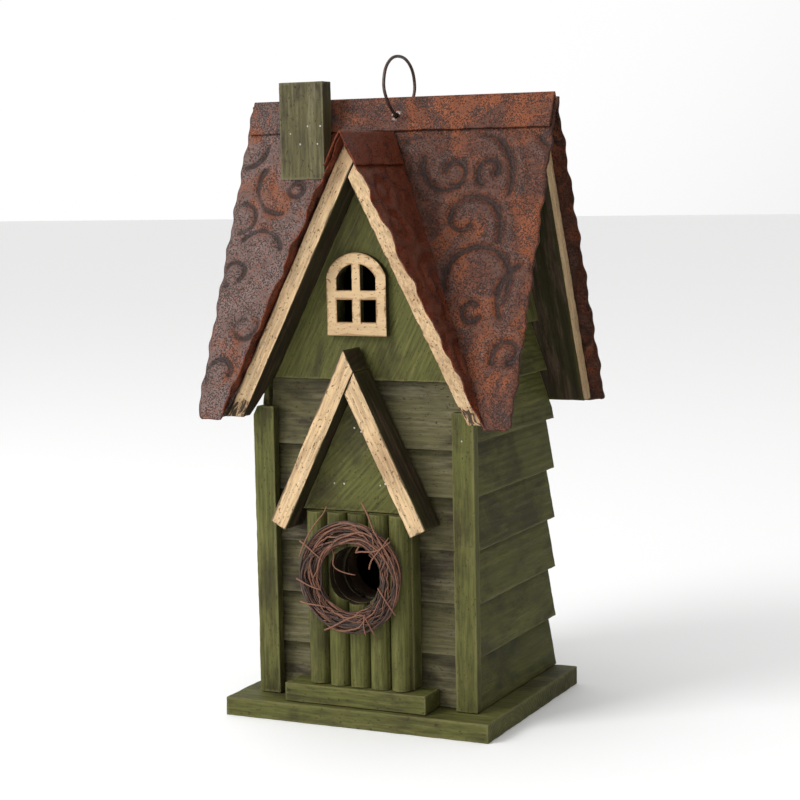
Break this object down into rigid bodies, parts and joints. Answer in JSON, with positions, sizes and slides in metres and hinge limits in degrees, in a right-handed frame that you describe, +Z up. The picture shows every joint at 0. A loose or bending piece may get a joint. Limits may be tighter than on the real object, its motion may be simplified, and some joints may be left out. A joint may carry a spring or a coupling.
{
  "type": "birdhouse",
  "caption": "Cottage birdhouse with lapped siding, steep gabled roof in rusty sheet, twig wreath round the entrance, wire hanging loop and swivel clean-out cover.",
  "frame": {"origin": "centre of the base board's underside", "axes": "+Z up, -Y towards the front with the entrance, +X to the right seen from the front"},
  "size_m": [0.1913, 0.1537, 0.3673],
  "materials": {
    "green_paint": "dry-brushed olive green paint over wood, worn at the edges",
    "weathered_green": "greyed green wash over wood",
    "cream_edge": "worn cream paint on the edges, dark stain on the faces",
    "bare_wood": "unpainted wood",
    "rusty_sheet": "embossed sheet with rust-brown finish",
    "twigs": "dry twigs",
    "dark_wire": "dull dark wire",
    "zinc": "dull zinc"
  },
  "bodies": {
    "house": {"base_board": "green_paint", "back_wall": "green_paint", "left_corner_post": "green_paint", "right_corner_post": "green_paint", "gable_panel": "green_paint", "pediment_panel": "green_paint", "door_step": "green_paint", "door_panel": "green_paint", "door_slat_1": "green_paint", "door_slat_2": "green_paint", "door_slat_3_lower": "green_paint", "door_slat_3_upper": "green_paint", "door_slat_4": "green_paint", "door_slat_5": "green_paint", "left_siding_1": "green_paint", "left_siding_2": "green_paint", "left_siding_3": "green_paint", "left_siding_4": "green_paint", "left_siding_5": "green_paint", "left_siding_6": "green_paint", "left_siding_7": "green_paint", "right_siding_1": "green_paint", "right_siding_2": "green_paint", "right_siding_3": "green_paint", "right_siding_4": "green_paint", "right_siding_5": "green_paint", "right_siding_6": "green_paint", "right_siding_7": "green_paint", "left_gable_end": "green_paint", "right_gable_end": "green_paint", "front_siding_1": "weathered_green", "front_siding_2": "weathered_green", "front_siding_3": "weathered_green", "front_siding_4": "weathered_green", "front_siding_5": "weathered_green", "front_siding_6": "weathered_green", "chimney_block": "weathered_green", "window_frame": "cream_edge", "pediment_board_left": "cream_edge", "pediment_board_right": "cream_edge", "gable_roof_board_left": "cream_edge", "gable_roof_board_right": "cream_edge", "roof_board_back": "cream_edge", "roof_board_front_left": "cream_edge", "roof_board_front_right": "cream_edge", "front_wall": "bare_wood", "left_side_wall": "bare_wood", "right_side_wall": "bare_wood", "roof_sheet_back": "rusty_sheet", "roof_sheet_front_left": "rusty_sheet", "roof_sheet_front_right": "rusty_sheet", "gable_sheet_left": "rusty_sheet", "gable_sheet_right": "rusty_sheet", "ridge_cap": "rusty_sheet", "gable_ridge_cap": "rusty_sheet", "twig_wreath": "twigs", "cover_screw": "zinc"},
    "hanging_loop": {"hanging_loop": "dark_wire"},
    "cleanout_cover": {"cleanout_cover": "green_paint"}
  },
  "joints": [
    {"name": "loop_swing", "type": "hinge", "parent": "house", "child": "hanging_loop", "pos_m": [0, 0.0066, 0.3332], "axis": [0, 1, 0], "range_deg": [-60, 60]},
    {"name": "cover_swivel", "type": "hinge", "parent": "house", "child": "cleanout_cover", "pos_m": [0, 0.0686, 0.07975], "axis": [0, 1, 0], "continuous": true}
  ]
}
